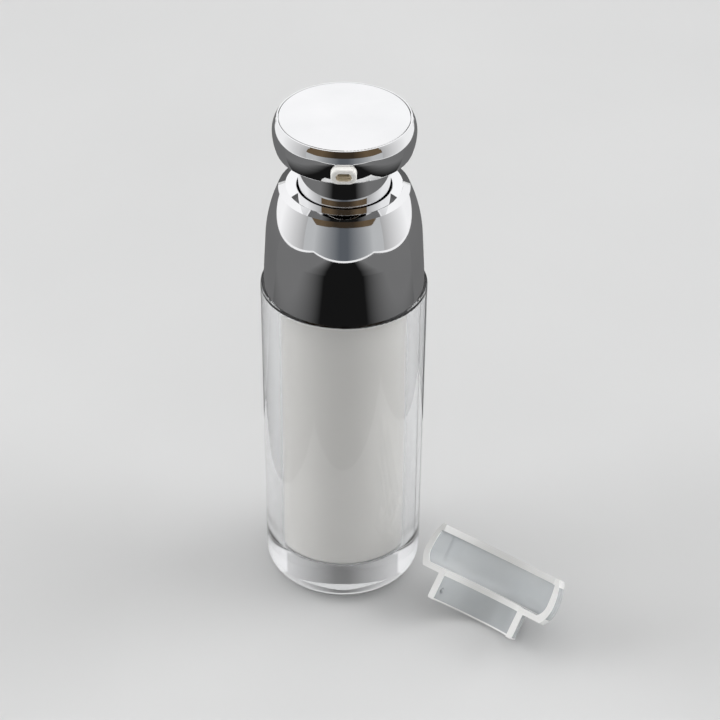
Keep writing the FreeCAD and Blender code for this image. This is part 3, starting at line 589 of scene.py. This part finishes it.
# %% Cards
def glowing_card(name, low, high, start=0.0, end=1.0, axis="X"):
    """A glowing tone, no lamp, that only reflections see: from low to high, between two distances aside or
    two places along Y.
    """
    material = bpy.data.materials.new(name)
    board = empty_board(material)
    way = axes(board)[axis]
    if axis == "X":
        way = reckon(board, "ABSOLUTE", way, 0.0)
    glow = board.nodes.new("ShaderNodeEmission")
    step = spread(board, way, NOISE_LOW, NOISE_HIGH, start, end)
    board.links.new(tones(board, step, low, high), glow.inputs["Color"])
    clear = board.nodes.new("ShaderNodeBsdfTransparent")
    path = board.nodes.new("ShaderNodeLightPath")
    from_dull = reckon(board, "GREATER_THAN", path.outputs["Diffuse Depth"], 0.5)
    show(board, choose_shader(board, from_dull, glow.outputs["Emission"], clear.outputs["BSDF"]))
    return material


def card(sheet, *tone, mirrors=True, glass=False):
    sheet.data.materials.append(glowing_card(sheet.name + "_tone", *tone))
    sheet.visible_camera = False
    sheet.visible_diffuse = False
    sheet.visible_shadow = False
    sheet.visible_glossy = mirrors
    sheet.visible_transmission = glass


def upright(name, xs, y, zs):
    return flat_sheet(name, [(x, y, z) for x, z in rectangle(xs, zs)])


def at_side(name, x, ys, zs):
    return flat_sheet(name, [(x, y, z) for y, z in rectangle(ys, zs)])


def plain(tone):
    return tone, tone, tone * 1.01

# %% [markdown]
# The table leaves a gap round the bottle and the clip, because a card that passes through clear plastic
# would darken it.  Front and flanks carry the same tones in the same heights: strip, grey, brown.

# %% Tent
SIDE = 0.3
FRONT = -0.33
FLANK = -0.19
BACK = 0.9
TABLE_HEIGHT = 0.0004
CEILING_HEIGHT = 0.62
LOFT_HEIGHT = 0.63
GAP_LEFT, GAP_RIGHT = -0.05, 0.075
GAP_FRONT, GAP_BACK = -0.065, 0.05

tent_width = (-SIDE, SIDE)
back_width = (-0.6, 0.6)
ceiling_depth = (-0.13, 1.37)
gap_depth = (GAP_FRONT, GAP_BACK)
flank_depth = (FRONT, FLANK)
strip_depth = (FRONT, -FRONT)
wall_depth = (FLANK, -FRONT)
strip_rise = (0.0, 0.01)
grey_rise = (0.01, 0.16)
brown_rise = (0.16, 0.5)
wall_rise = (0.01, 0.53)
back_rise = (0.0, 0.42)

DARK = plain(0.008), plain(0.17), 0.08, 0.15
GREY = (0.1, 0.11, 0.125), (0.5, 0.51, 0.52), 0.03, 0.3
BROWN = (0.038, 0.028, 0.019), (0.13, 0.092, 0.056), 0.08, 0.22
PALE = plain(0.42), plain(0.95), FLANK, 0.08, "Y"
BRIGHT = plain(0.92), plain(0.92)
TABLE_BACK = plain(0.15), plain(0.2)
BACKDROP = plain(0.1), plain(0.16)
CEILING = plain(1.02), plain(0.95), 0.1, 0.6
LOFT = plain(0.16), plain(0.6), 0.05, 0.45
GLASS_ONLY = {"mirrors": False, "glass": True}

card(level("card_table_front", tent_width, (FRONT, GAP_FRONT), TABLE_HEIGHT), *DARK)
card(level("card_table_left", (-SIDE, GAP_LEFT), gap_depth, TABLE_HEIGHT), *DARK)
card(level("card_table_right", (GAP_RIGHT, SIDE), gap_depth, TABLE_HEIGHT), *DARK)
card(level("card_table_back", tent_width, (GAP_BACK, BACK), TABLE_HEIGHT), *TABLE_BACK)
card(upright("card_strip_front", tent_width, FRONT, strip_rise), *BRIGHT)
card(upright("card_front", tent_width, FRONT, grey_rise), *GREY)
card(upright("card_front_high", tent_width, FRONT, brown_rise), *BROWN)
card(upright("card_back", back_width, BACK, back_rise), *BACKDROP)
card(level("card_ceiling", back_width, ceiling_depth, CEILING_HEIGHT), *CEILING)
card(level("card_loft", back_width, ceiling_depth, LOFT_HEIGHT), *LOFT, **GLASS_ONLY)
for side, name in ((-SIDE, "left"), (SIDE, "right")):
    card(at_side("card_flank_" + name, side, flank_depth, grey_rise), *GREY)
    card(at_side("card_flank_high_" + name, side, flank_depth, brown_rise), *BROWN)
    card(at_side("card_strip_" + name, side, strip_depth, strip_rise), *BRIGHT)
    card(at_side("card_wall_" + name, side, wall_depth, wall_rise), *PALE)
    card(at_side("card_window_" + name, side, wall_depth, wall_rise), *BRIGHT, **GLASS_ONLY)
